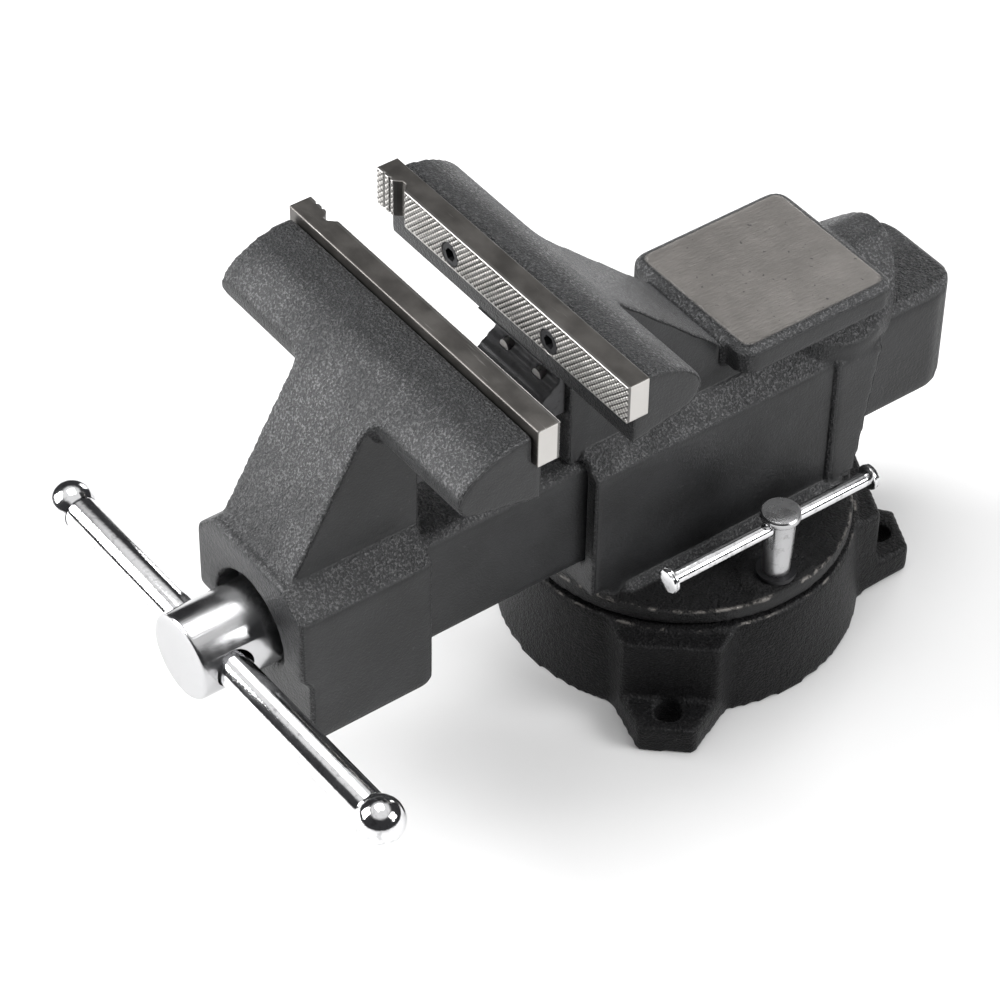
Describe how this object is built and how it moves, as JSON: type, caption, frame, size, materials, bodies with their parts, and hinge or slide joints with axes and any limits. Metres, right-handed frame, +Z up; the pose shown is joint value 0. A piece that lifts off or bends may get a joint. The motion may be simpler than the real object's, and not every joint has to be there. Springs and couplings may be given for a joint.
{
  "type": "bench vise",
  "caption": "Cast bench vise on a swivel base, with serrated jaw plates, pipe jaws under them, a flat anvil, a spindle with a sliding handle and two swivel lock bolts.",
  "frame": {"origin": "on the swivel axis, in the plane that the base stands on", "axes": "+Z up; +Y along the slide bar, away from the handle; +X along the jaws"},
  "size_m": [0.2216, 0.3528, 0.208],
  "materials": {
    "cast_paint": "rough charcoal paint over sand-cast iron",
    "base_paint": "near-black paint over sand-cast iron",
    "plate_steel": "hardened and ground, serrated on the gripping side",
    "tooth_steel": "dark hardened steel",
    "bolt_steel": "black oxide steel",
    "bare_steel": "plain turned steel, lightly oiled",
    "nut_iron": "plain cast iron",
    "chrome": "bright plating with light wear"
  },
  "bodies": {
    "base": {"swivel_base": "base_paint"},
    "fixed_body": {"body_casting": "cast_paint", "fixed_jaw_plate": "plate_steel", "fixed_plate_screws": "bolt_steel", "fixed_pipe_jaw": "tooth_steel", "fixed_pipe_jaw_pins": "bare_steel", "spindle_nut": "nut_iron", "nut_bolt": "bolt_steel", "lock_washer_right": "bolt_steel", "lock_washer_left": "bolt_steel", "tee_nut_right": "nut_iron", "tee_nut_left": "nut_iron"},
    "moving_jaw": {"moving_jaw_casting": "cast_paint", "moving_jaw_plate": "plate_steel", "moving_plate_screws": "bolt_steel", "moving_pipe_jaw": "tooth_steel", "moving_pipe_jaw_pins": "bare_steel", "spindle_spring": "bare_steel"},
    "spindle": {"spindle_screw": "bare_steel", "spindle_head": "chrome", "spindle_head_pin": "bare_steel", "thrust_washer": "bare_steel", "spring_washer": "bare_steel", "retaining_pin": "bare_steel"},
    "handle": {"handle_bar": "chrome", "handle_ball_left": "chrome", "handle_ball_right": "chrome"},
    "lock_bolt_right": {"lock_bolt_right": "chrome"},
    "lock_bar_right": {"lock_bar_right": "chrome", "lock_bar_caps_right": "chrome"},
    "lock_bolt_left": {"lock_bolt_left": "chrome"},
    "lock_bar_left": {"lock_bar_left": "chrome", "lock_bar_caps_left": "chrome"}
  },
  "joints": [
    {"name": "swivel", "type": "hinge", "parent": "base", "child": "fixed_body", "pos_m": [0, 0, 0.0435], "axis": [0, 0, 1], "continuous": true},
    {"name": "jaw_slide", "type": "slide", "parent": "fixed_body", "child": "moving_jaw", "axis": [0, -1, 0], "range_m": [-0.0289, 0.0978]},
    {"name": "spindle_turn", "type": "hinge", "parent": "moving_jaw", "child": "spindle", "pos_m": [0, -0.2045, 0.0959], "axis": [0, -1, 0], "range_deg": [-2046, 6928]},
    {"name": "handle_slide", "type": "slide", "parent": "spindle", "child": "handle", "axis": [0.9998, 0, 0.0192], "range_m": [-0.0851, 0.0725]},
    {"name": "lock_bolt_right_turn", "type": "hinge", "parent": "fixed_body", "child": "lock_bolt_right", "pos_m": [0.0592, 0, 0.0534], "axis": [0, 0, 1], "range_deg": [-10, 10]},
    {"name": "lock_bar_right_slide", "type": "slide", "parent": "lock_bolt_right", "child": "lock_bar_right", "axis": [0, 1, 0], "range_m": [-0.0345, 0.0437]},
    {"name": "lock_bolt_left_turn", "type": "hinge", "parent": "fixed_body", "child": "lock_bolt_left", "pos_m": [-0.0592, 0, 0.0534], "axis": [0, 0, 1], "range_deg": [-10, 10]},
    {"name": "lock_bar_left_slide", "type": "slide", "parent": "lock_bolt_left", "child": "lock_bar_left", "axis": [0, 1, 0], "range_m": [-0.0391, 0.0391]}
  ],
  "couplings": [
    {"joint": "jaw_slide", "follows": "spindle_turn", "m_per_rad": 0.00080851}
  ]
}
